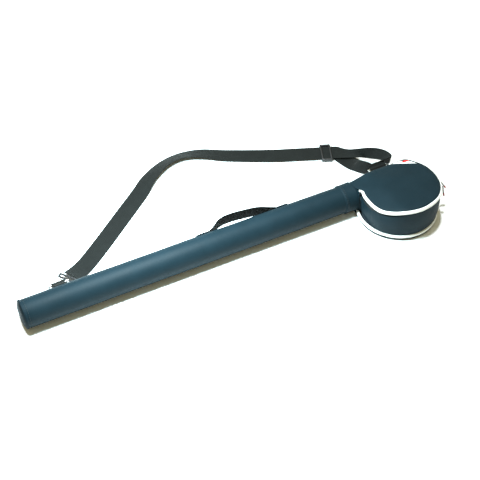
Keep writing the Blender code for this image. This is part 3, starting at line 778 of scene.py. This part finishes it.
def patch_on_lid(name, boundary, lift, thick, material, replaced):
    """A thin patch that follows the lid's cloth."""
    edge = closed_plan(0.0, LID_BACK_Y)
    centre = sum(boundary, Vector((0, 0))) / len(boundary)
    side = ((0.5, 0.0), (1.0, 0.0), (1.0, thick * 0.8))
    rings = []
    for scale, height in (*side, (0.985, thick), (0.8, thick), (0.5, thick), (0.1, thick)):
        ring = []
        for p in boundary:
            q = centre + (p - centre) * scale
            inset = min((q - stop).length for stop in edge)
            ring.append(Vector((q.x, q.y, lid_top(q.x, q.y, inset) + lift + height)))
        rings.append(ring)
    finish_piece(loft(name, rings, flat_uv=True), "lid", material, replaced, sharp=60)


def build_badge():
    left, right = Vector((20.5, 60.6)), Vector((64.0, 39.6))
    chord = right - left
    near, far = lid_plan(2.8), lid_plan(7.0)
    edge = [p.lerp(q, smoothstep((p.x - 40) / 10)) for p, q in zip(near, far)]
    edge = [p for p in edge if (p - left).cross(chord) < 0 and p.x > 20]
    line = [edge[-1].lerp(edge[0], k / 12) for k in range(1, 12)]
    patch_on_lid("corner_badge_patch", edge + line, 0.25, 0.7, BADGE, ["corner_badge"])
    bar = [(40.5, 59.0), (46.5, 60.6), (51.5, 61.4), (59.0, 57.0), (52.0, 55.6), (46.5, 55.2)]
    bar = [Vector(p) for p in smooth_line(bar, 4, closed=True)]
    patch_on_lid("badge_mark_print", bar, 0.9, 0.25, BADGE_MARK, ["badge_mark"])


def zip_path(inset, **counts):
    return shaped(round_path(inset, 54.0, **counts), ZIP_SHARE)


def zip_tape(name, inset, low, high, body, replaced):
    rings = []
    for a, b in zip(zip_path(inset), zip_path(inset + 0.7)):
        drop = ZIP_DIP * sag(a.x, a.y)
        corners = ((a, low), (a, high), (b, high), (b, low))
        rings.append([Vector((p.x, p.y, z - drop)) for p, z in corners])
    finish_piece(loft(name, rings), body, ZIP_TAPE, replaced, tilt=body == "case")


def zip_teeth(name, z, tilt, body, replaced):
    """A row of coil teeth round the pouch, each a short bent loop of nylon."""
    path = zip_path(1.6, count=150, side_count=44)
    size = 0.42
    bm = bmesh.new()
    for k in range(len(path) - 1):
        for share in (0.0, 0.5):
            spot = path[k].lerp(path[k + 1], share)
            along = (path[k + 1] - path[k]).normalized()
            flat, out = Vector((along.x, along.y, 0)), Vector((along.y, -along.x, 0))
            leaning = Vector((out.x, out.y, tilt))
            root = Vector((spot.x, spot.y, z - ZIP_DIP * sag(spot.x, spot.y)))
            rings = []
            for step in (-1.0, -0.4, 0.4, 1.0):
                centre = root + out * (0.9 - step * step * 0.5)
                centre.z += step * 0.55
                ring = []
                for turn in (45, 135, 225, 315):
                    angle = math.radians(turn)
                    side = flat * math.cos(angle) * size
                    ring.append(centre + side + leaning * math.sin(angle) * size)
                rings.append(ring)
            loft_into(bm, rings)
    finish_piece(mesh_object(name, bm), body, ZIP_COIL, replaced, tilt=body == "case")


def build_zip():
    zip_tape("zip_tape_low", 2.3, 46.2, 53.4, "case", ["zip_tape_lower"])
    zip_tape("zip_tape_high", 3.2, 55.0, 60.4, "lid", ["zip_tape_upper"])
    zip_teeth("zip_teeth_low", 53.8, -0.2, "case", ["zip_coil_lower"])
    zip_teeth("zip_teeth_high", 55.3, 0.2, "lid", ["zip_coil_upper"])
    build_hinge()


def build_hinge():
    """The cloth that joins the back wall's top to the lid's back edge, and bends with the lid."""
    wall_y, lid_y = back_y(WALL_HIGH), LID_BACK_Y - 2.2
    rings = []
    for x in spaced(HINGE_LEFT, HINGE_RIGHT, 40):
        wall = Vector((0, wall_y - 0.8, HINGE_SEAM_Z - sag(x, 78)))
        lid = Vector((0, lid_y, lid_top(x, LID_BACK_Y, 0.9) - 5.4))
        over, under = [], []
        for share in (0.0, 0.12, 0.25, 0.4, 0.55, 0.7, 0.85, 1.0):
            point = wall.lerp(lid, share) + Vector((x, 0, 1.2 * math.sin(math.pi * share)))
            over.append(point + Vector((0, 0, 0.5)))
            under.append(point - Vector((0, 0, 0.5)))
        rings.append(over + under[::-1])
    hinge = loft("hinge_cloth", rings)
    finish_piece(hinge, None, NAVY_EDGE, ["lid_hinge_tape"])
    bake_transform(hinge)


def slider_pieces(name, centre, radius, angle_deg, swing_deg):
    """A zip slider with its bridge, and its pull: a cord loop and a moulded red end."""
    angle, swing = math.radians(angle_deg), math.radians(swing_deg)
    out = Vector((math.cos(angle), math.sin(angle), 0))
    side = Vector((-math.sin(angle), math.cos(angle), 0))
    origin = Vector((centre.x, centre.y, SLIDER_Z)) + out * radius
    place = Matrix.Translation(origin) @ Matrix.Rotation(angle, 4, "Z")
    plates_and_bridge = [
        ((0.6, -4.6, -2.9), (1.9, 4.6, 2.9), 0.6),
        ((2.2, -4.2, -2.5), (3.3, 4.2, 2.5), 0.5),
        ((3.0, -0.9, -1.4), (7.4, 0.9, -0.5), 0.3),
        ((3.0, -0.9, 1.4), (7.4, 0.9, 2.3), 0.3),
        ((6.6, -0.9, -1.2), (7.5, 0.9, 2.1), 0.3),
    ]
    slider = boxes(f"slider_{name}", place, plates_and_bridge)
    finish_piece(slider, f"{name}_slider", ZIP_METAL, [f"zip_slider_{name}"])
    pivot = origin + out * PULL_REACH + Vector((0, 0, 1.5))
    down = Vector((0, 0, -1)) * math.cos(swing) + out * math.sin(swing)
    face = down.cross(side).normalized()

    def local(across, along, off=0.0):
        return pivot + side * across + down * along + face * off

    loop = ((0, -0.6), (1.5, 1.2), (1.5, 7.5), (1.2, 15.0), (-1.2, 15.0), (-1.5, 7.5), (-1.5, 1.2))
    cord = rod(f"pull_cord_{name}", [local(*stop) for stop in loop], 0.95, closed=True)
    finish_piece(cord, f"{name}_pull", BLACK_PLASTIC, [f"zip_pull_{name}"])
    swell = ((0, 1.2, 0.8), (0.1, 2.1, 1.2), (0.45, 2.8, 1.5), (0.85, 2.4, 1.4), (0.97, 1.5, 1.0))
    rings = []
    for share, wide, thick in (*swell, (1.0, 0.7, 0.5)):
        along = 14.2 + 9.0 * share
        rings.append([local(wide * math.cos(t), along, thick * math.sin(t)) for t in full_turn(14)])
    tip = loft(f"pull_end_{name}", rings)
    finish_piece(tip, f"{name}_pull", PULL_TIP, [f"pull_tip_{name}"])


# ---- webbing, rings and hook


def by_triglide(distance, z):
    x = TRIGLIDE.x + math.cos(TRIGLIDE_TURN) * distance
    y = TRIGLIDE.y + math.sin(TRIGLIDE_TURN) * distance
    return (x, y, z, 0.0)


def across_ring(y, z):
    half = STRAP_WIDTH / 2
    return (POUCH_RING_X - half, y, z, POUCH_RING_X + half, y, z)


STRAP_ROUTE = [
    (-621.4, 112.4, 11.4, 0),
    (-605, 123.5, 5, 0),
    (-580, 140.5, 1.4, 0),
    (-534.5, 176, 1.2, 0),
    (-479.5, 221, 1.2, 0),
    (-425.5, 265, 2.6, 5),
    (-391, 294.5, 7, 17),
    (-350, 316.5, 9.5, 25),
    (-311, 323, 9.5, 24),
    (-271, 313.5, 7.5, 14),
    (-226.5, 290, 3.5, 5),
    (-165, 258, 3.2, 0),
    by_triglide(-96, TRIGLIDE.z),
    by_triglide(-84, TRIGLIDE.z),
    by_triglide(-30, TRIGLIDE.z),
    by_triglide(12, TRIGLIDE.z),
    by_triglide(20, TRIGLIDE.z),
    (10, 157, 10, 2, 184, 14),
    (33, 148, 5, 27, 144, 40),
    (49, 129, 9, 44, 122, 45),
    (52, 110, 14, 48, 101, 47),
    (24, 105.5, 33, 42, 99.5, 44),
    across_ring(103, 37.5),
    across_ring(99.4, 33.8),
    across_ring(95.6, 32.7),
    across_ring(94.4, 30.3),
    across_ring(95.6, 28.0),
    across_ring(98.0, 27.4),
]
RETURN_ROUTE = [
    across_ring(98.6, 27.2),
    (2, 111, 8, 19, 109, 23),
    (-4, 121, 2, 6, 117, 31),
    (-14, 134, 1.6, -4, 135, 27),
    (-22, 147, 1.4, 6, 150, 11),
    (-27, 161, 1.2, 4, 173, 2.6),
    (-31.7, 180.6, 1.2, -18.3, 214, 1.2),
    by_triglide(0, 1.1),
]


def middle_of(stop):
    if len(stop) == 4:
        return Vector(stop[:3])
    return (Vector(stop[:3]) + Vector(stop[3:])) / 2


def edges_of(stops, width):
    """A ribbon's stops as pairs of edges; a stop of four numbers is (x, y, z, tilt in degrees)."""
    made = []
    for k, stop in enumerate(stops):
        if len(stop) == 4:
            along = middle_of(stops[min(k + 1, len(stops) - 1)]) - middle_of(stops[max(k - 1, 0)])
            flat = along.cross(WORLD_Z).normalized()
            upright = flat.cross(along.normalized())
            tilt = math.radians(stop[3])
            half = (flat * math.cos(tilt) + upright * math.sin(tilt)) * (width / 2)
            stop = (*(middle_of(stop) + half), *(middle_of(stop) - half))
        made.append(tuple(stop))
    return made


def ribbon_rings(line):
    """Cross-sections of webbing with soft selvedges, from edge pairs."""
    rings, shares = [], spaced(0, 1, 8)
    for k, stop in enumerate(line):
        along = middle_of(line[min(k + 1, len(line) - 1)]) - middle_of(line[max(k - 1, 0)])
        near, far = Vector(stop[:3]), Vector(stop[3:])
        up = (near - far).cross(along).normalized()
        halves = [WEBBING_THICK / 2 * (1 - abs(2 * s - 1) ** 8 * 0.6) for s in shares]
        under = [far.lerp(near, s) - up * h for s, h in zip(shares, halves)]
        over = [far.lerp(near, s) + up * h for s, h in zip(shares, halves)]
        rings.append(under + over[::-1])
    return rings


def fold_tab(node, x, width, centre_y, radius):
    """A ring's tab: webbing folded round the bar and sewn to the cloth with a crossed box."""
    bar, near = 2.15, 0.35  # the fold's inner radius, and the gap to the cloth
    far = near + WEBBING_THICK
    name = f"{node}_webbing"

    def on_cloth(z, lift):
        return centre_y + math.sqrt((radius + lift) ** 2 - (z - TUBE_Z) ** 2), z

    def fold(r):
        turns = [math.radians(degrees) for degrees in spaced(100, -100, 12)]
        return [(RING_AXIS.y + r * math.cos(a), RING_AXIS.z + r * math.sin(a)) for a in turns]

    def flap(top, count, lift):
        return [on_cloth(top - k * 2.0, lift) for k in range(count)]

    section = flap(48.0, 3, far) + fold(bar + WEBBING_THICK) + flap(27.6, 3, far)
    section += flap(29.6, 4, near)[::-1] + fold(bar)[::-1] + flap(48.0, 4, near)[::-1]
    steps = spaced(x - width / 2, x + width / 2, 6)
    tab = loft(name, [[Vector((px, y, z)) for y, z in section] for px in steps])
    finish_piece(tab, "case", WEBBING, [node])
    rows = []
    left, right = x - width / 2 + 2, x + width / 2 - 2
    for high, low in ((47.0, 44.0), (26.6, 24.2)):
        a, b = on_cloth(high, 2.0), on_cloth(low, 2.0)
        rows += [[(left, *start), (right, *end)] for start, end in ((a, a), (b, b), (a, b))]
        rows.append([(right, *a), (left, *b)])
    stitches(f"{name}_stitches", rows, "case", BLACK_THREAD, length=2.2, gap=0.9)


def wire_ring(node, x, half, deep, lean_deg, square):
    """A bent wire ring whose straight bar is in its tab."""
    lean = math.radians(lean_deg)
    out = Vector((0, math.cos(lean), math.sin(lean)))
    base = Vector((x, RING_AXIS.y, RING_AXIS.z))
    if square:
        side = half + 0.2
        corners = [(-half, 0), (0, 0), (half, 0), (side, deep * 0.5)]
        corners += [(half, deep), (0, deep), (-half, deep), (-side, deep * 0.5)]
        flat = []
        for corner, after in zip(corners, corners[1:] + corners[:1]):
            flat += [tuple(Vector(corner).lerp(Vector(after), s)) for s in (0.0, 0.12, 0.5, 0.88)]
    else:
        flat = [(u, 0.0) for u in spaced(-half, half, 8)]
        for turn in range(0, 181, 12):
            angle = math.radians(turn)
            flat.append((half * math.cos(angle), 4 + (deep - 4) * math.sin(angle)))
    points = [base + Vector((u, 0, 0)) + out * v for u, v in flat]
    ring = rod(f"{node}_wire", points, 1.75, closed=True, resolution=5, smooth=False)
    finish_piece(ring, "strap", RING_METAL, [node])


def hook_frame():
    """The hook's own axes: along it, up across its flat side, and level out of that side."""
    x, y, flat = math.cos(HOOK_TURN), math.sin(HOOK_TURN), math.cos(HOOK_RISE)
    along = Vector((x * flat, y * flat, math.sin(HOOK_RISE)))
    level = Vector((-y, x, 0.0))
    up = along.cross(level)
    return Matrix.Translation(HOOK_BASE) @ Matrix((along, up, level)).transposed().to_4x4()


def build_hook():
    place = hook_frame()

    def spot(x, y, z=0.0):
        return place @ Vector((x, y, z))

    half = STRAP_WIDTH / 2 + 2.3
    corners = [(-4, -half), (4.5, -half + 1.5), (4.5, half - 1.5), (-4, half)]
    loop = []
    for corner, after in zip(corners, corners[1:] + corners[:1]):
        for share in (0.06, 0.3, 0.7, 0.94):
            u = Vector(corner).lerp(Vector(after), share)
            loop.append(spot(u.x, 0, u.y))
    base = rod("hook_base_moulding", loop, 2.0, closed=True, resolution=5)
    finish_piece(base, "strap", BLACK_PLASTIC, ["hook_base_loop"])

    shank = [(6.9, 0), (9.5, 0), (11.5, -0.6), (14.5, -4.5), (20, -7), (25, -7.6)]
    shank += [(29.5, -6.4), (33.5, -3), (34.4, 0.6), (32.6, 4.6), (29.6, 6.4), (28, 6.6)]
    body = rod("hook_moulding", [spot(x, y) for x, y in shank], 2.1, resolution=6)
    finish_piece(body, "hook", BLACK_PLASTIC, ["hook_body"])
    barrel = ((6.5, 2.6), (6.9, 3.5), (7.4, 3.7), (9.0, 3.7), (9.6, 3.2), (10.4, 3.3), (12.0, 3.1))
    rings = []
    for x, radius in (*barrel, (12.8, 2.2)):
        rings.append([spot(x, radius * math.cos(t), radius * math.sin(t)) for t in full_turn(20)])
    finish_piece(loft("hook_swivel_barrel", rings), "hook", BLACK_PLASTIC)

    line = [spot(13.6, 4.6), spot(19, 5.7), spot(25.4, 6.4)]
    gate = rod("gate_moulding", line, 1.5, resolution=5)
    finish_piece(gate, "gate", BLACK_PLASTIC, ["hook_gate"])
    lever = boxes("gate_lever_moulding", place, [((14.0, 6.0, -1.7), (17.6, 11.6, 1.7), 0.8)])
    finish_piece(lever, "gate", BLACK_PLASTIC, ["gate_lever"])


def build_triglide():
    place = Matrix.Translation(TRIGLIDE) @ Matrix.Rotation(TRIGLIDE_TURN, 4, "Z")
    gap, tall, length, width, rail = 1.1, 2.2, 11.0, 23.5, 4.0
    parts = []
    for side in (-1, 1):
        y0, y1 = sorted((side * width, side * (width - rail)))
        parts.append(((-length, y0, -gap - tall), (length, y1, gap + tall), 1.4))
    inner = width - rail + 1
    for side in (-1, 1):
        x0, x1 = sorted((side * (length - 0.2), side * 7.4))
        parts.append(((x0, -inner, gap), (x1, inner, gap + tall - 0.1), 0.9))
    parts.append(((-2.1, -inner, 0.2 - gap - tall), (2.1, inner, -gap), 0.6))
    slide = boxes("triglide_moulding", place, parts)
    finish_piece(slide, "strap_slider", BLACK_PLASTIC, ["triglide"])


def build_strap():
    fold_tab("end_ring_tab", END_RING_X, 25.0, TUBE_Y, SLEEVE_RADIUS)
    fold_tab("pouch_ring_tab", POUCH_RING_X, 34.0, BACK_CENTRE_Y, BACK_RADIUS)
    wire_ring("end_ring", END_RING_X, 17.5, 20.0, -68, False)
    wire_ring("pouch_ring", POUCH_RING_X, 20.5, 14.0, -24, True)
    line = smooth_line(edges_of(STRAP_ROUTE, STRAP_WIDTH), 8)
    strap = loft("shoulder_strap_webbing", ribbon_rings(line))
    finish_piece(strap, "strap", WEBBING, ["shoulder_strap"], sharp=70)
    line = smooth_line(edges_of(RETURN_ROUTE, STRAP_WIDTH), 8)
    back = loft("strap_return_webbing", ribbon_rings(line))
    finish_piece(back, None, WEBBING, ["strap_return"], sharp=70)
    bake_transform(back)
    build_hook()
    build_triglide()


# ---- carry handle


def build_handle():
    out = Vector((0, math.cos(HANDLE_ANGLE), math.sin(HANDLE_ANGLE)))
    around = Vector((0, -math.sin(HANDLE_ANGLE), math.cos(HANDLE_ANGLE)))
    axis = Vector((0, TUBE_Y, TUBE_Z))
    surface = SLEEVE_RADIUS + 0.3
    length = HANDLE_RIGHT - HANDLE_LEFT

    def section(x, lift, thick=1.6, free_at=12):
        """The strip's section: bent round the tube where it lies on it, flat where it's free."""
        bend = 1 - min(1, lift / free_at)
        lean = Matrix.Rotation(-HANDLE_TWIST * (1 - bend), 3, "X")
        columns = spaced(-1, 1, 8)
        ring = []
        for height, steps in ((0, columns), (thick, columns[::-1])):
            for t in steps:
                across = t * HANDLE_WIDTH / 2
                drop = across**2 / (2 * surface) * bend
                off = lean @ (out * (height - drop) + around * across)
                ring.append(axis + Vector((x, 0, 0)) + out * (surface + lift) + off)
        return ring

    stops = [(0.0, 0.3), (0.05, 1.8), (0.12, 6.0), (0.2, 11.5), (0.3, 14.8)]
    stops += [(0.44, 15.0), (0.6, 12.8), (0.78, 9.5), (0.92, 3.6), (1.0, 0.3)]
    rings = [section(HANDLE_LEFT + s * length, lift) for s, lift in smooth_line(stops, 6)]
    loop = loft("handle_loop_webbing", rings)
    finish_piece(loop, "case", WEBBING, ["handle_loop"], sharp=70)

    middle_angle = math.degrees(HANDLE_ANGLE)

    def wrapped(x, lift, thick, width):
        spread = math.degrees(width / 2 / SLEEVE_RADIUS)
        angles = spaced(middle_angle - spread, middle_angle + spread, 12)
        over = [on_tube(x, a, lift + thick) for a in angles[::-1]]
        return [on_tube(x, a, lift) for a in angles] + over

    low, wide = middle_angle - 24, 48
    rows = []
    for side, inner_x, direction in (("left", HANDLE_LEFT, -1), ("right", HANDLE_RIGHT, 1)):
        xs = [inner_x + direction * (0.2 + (HANDLE_SEWN - 0.4) * k / 6) for k in range(7)]
        end = loft(f"handle_end_{side}_webbing", [wrapped(x, 0.15, 1.3, HANDLE_WIDTH) for x in xs])
        finish_piece(end, "case", WEBBING, [f"handle_end_{side}"])
        xs = [inner_x + direction * (1.2 + (HANDLE_SEWN + 0.4) * k / 6) for k in range(7)]
        lifts = [1.5] * 5 + [1.4, 0.6]
        rings = [wrapped(x, lift, 0.7, HANDLE_WIDTH + 5) for x, lift in zip(xs, lifts)]
        patch = loft(f"handle_patch_{side}_cloth", rings)
        finish_piece(patch, "case", NAVY_EDGE, [f"handle_patch_{side}"])
        left, long = inner_x + direction * 3.5, direction * (HANDLE_SEWN - 5)
        # both ends, both sides and a cross
        box = [[(u, v) for v in spaced(0, 1, 12)] for u in (0, 1)]
        shares = spaced(0, 1, 8)
        box += [[(u, v) for u in shares] for v in (0, 1)]
        box += [[(u, u) for u in shares], [(u, 1 - u) for u in shares]]
        rows += [[on_tube(left + long * u, low + wide * v, 2.4) for u, v in line] for line in box]
    stitches("handle_stitches", rows, "case", BLACK_THREAD, length=2.4, gap=1.0)


# ---- stage


def area_light(name, place, aim, size, power, colour):
    data = bpy.data.lights.new(name, "AREA")
    data.shape = "DISK"
    data.size = size
    data.energy = power
    data.color = colour
    lamp = new_object(name, data)
    lamp.location = place
    lamp.rotation_euler = (Vector(aim) - Vector(place)).to_track_quat("-Z", "Y").to_euler()


def build_stage():
    bm = bmesh.new()
    bmesh.ops.create_grid(bm, x_segments=1, y_segments=1, size=40.0)
    floor = mesh_object("floor", bm)
    paper = Nodes("pale paper")
    paper.vary(paper.noise(3.0, 3.0), (0.86, 0.86, 0.85), (0.9, 0.9, 0.89))
    paper.set(Roughness=0.95, Specular_IOR_Level=0.1)
    floor.data.materials.append(paper.material)
    area_light("key", (-0.47, 0.09, 0.5), (-0.47, 0.05, 0.0), 0.16, 14.0, (0.72, 0.93, 1.0))
    data = bpy.data.lights.new("overhead", "SUN")
    data.angle = math.radians(5)
    data.energy = 3.4
    data.color = (0.88, 0.95, 1.0)
    sun = new_object("overhead", data)
    sun.rotation_euler = Vector((-0.04, 0.13, 1.0)).to_track_quat("Z", "Y").to_euler()
    world = bpy.data.worlds.new("studio")
    world.use_nodes = True
    colour, strength = world.node_tree.nodes["Background"].inputs[:2]
    colour.default_value = (1.0, 0.94, 0.6, 1.0)
    strength.default_value = 0.42
    bpy.context.scene.world = world
    bpy.context.scene.view_settings.view_transform = "Standard"


def build_camera():
    azimuth, elevation = math.radians(-26.49), math.radians(46.53)
    distance, target = 1.968, Vector((-0.3036, 0.0667, 0.0))
    flat = math.cos(elevation)
    back = Vector((math.sin(azimuth) * flat, -math.cos(azimuth) * flat, math.sin(elevation)))
    data = bpy.data.cameras.new("camera")
    data.lens = 78.3
    data.sensor_width = 36.0
    data.clip_start = 0.05
    camera = new_object("camera", data)
    camera.location = target + back * distance
    camera.rotation_euler = back.to_track_quat("Z", "Y").to_euler()
    bpy.context.scene.camera = camera


def repaint_model():
    for name, material in NODE_MATERIALS.items():
        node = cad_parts[name]
        for slot in node.material_slots:
            slot.material = material


build_stage()
build_camera()
repaint_model()
build_strap()
build_handle()
build_tube()
build_wall()
build_base()
build_lid()
build_zip()
slider_pieces("front", Vector((0, 0, 0)), POUCH_RADIUS, -24, 10)
slider_pieces("back", Vector((SIDE_CENTRE.x, SIDE_CENTRE.y, 0)), SIDE_RADIUS, -13, 33)
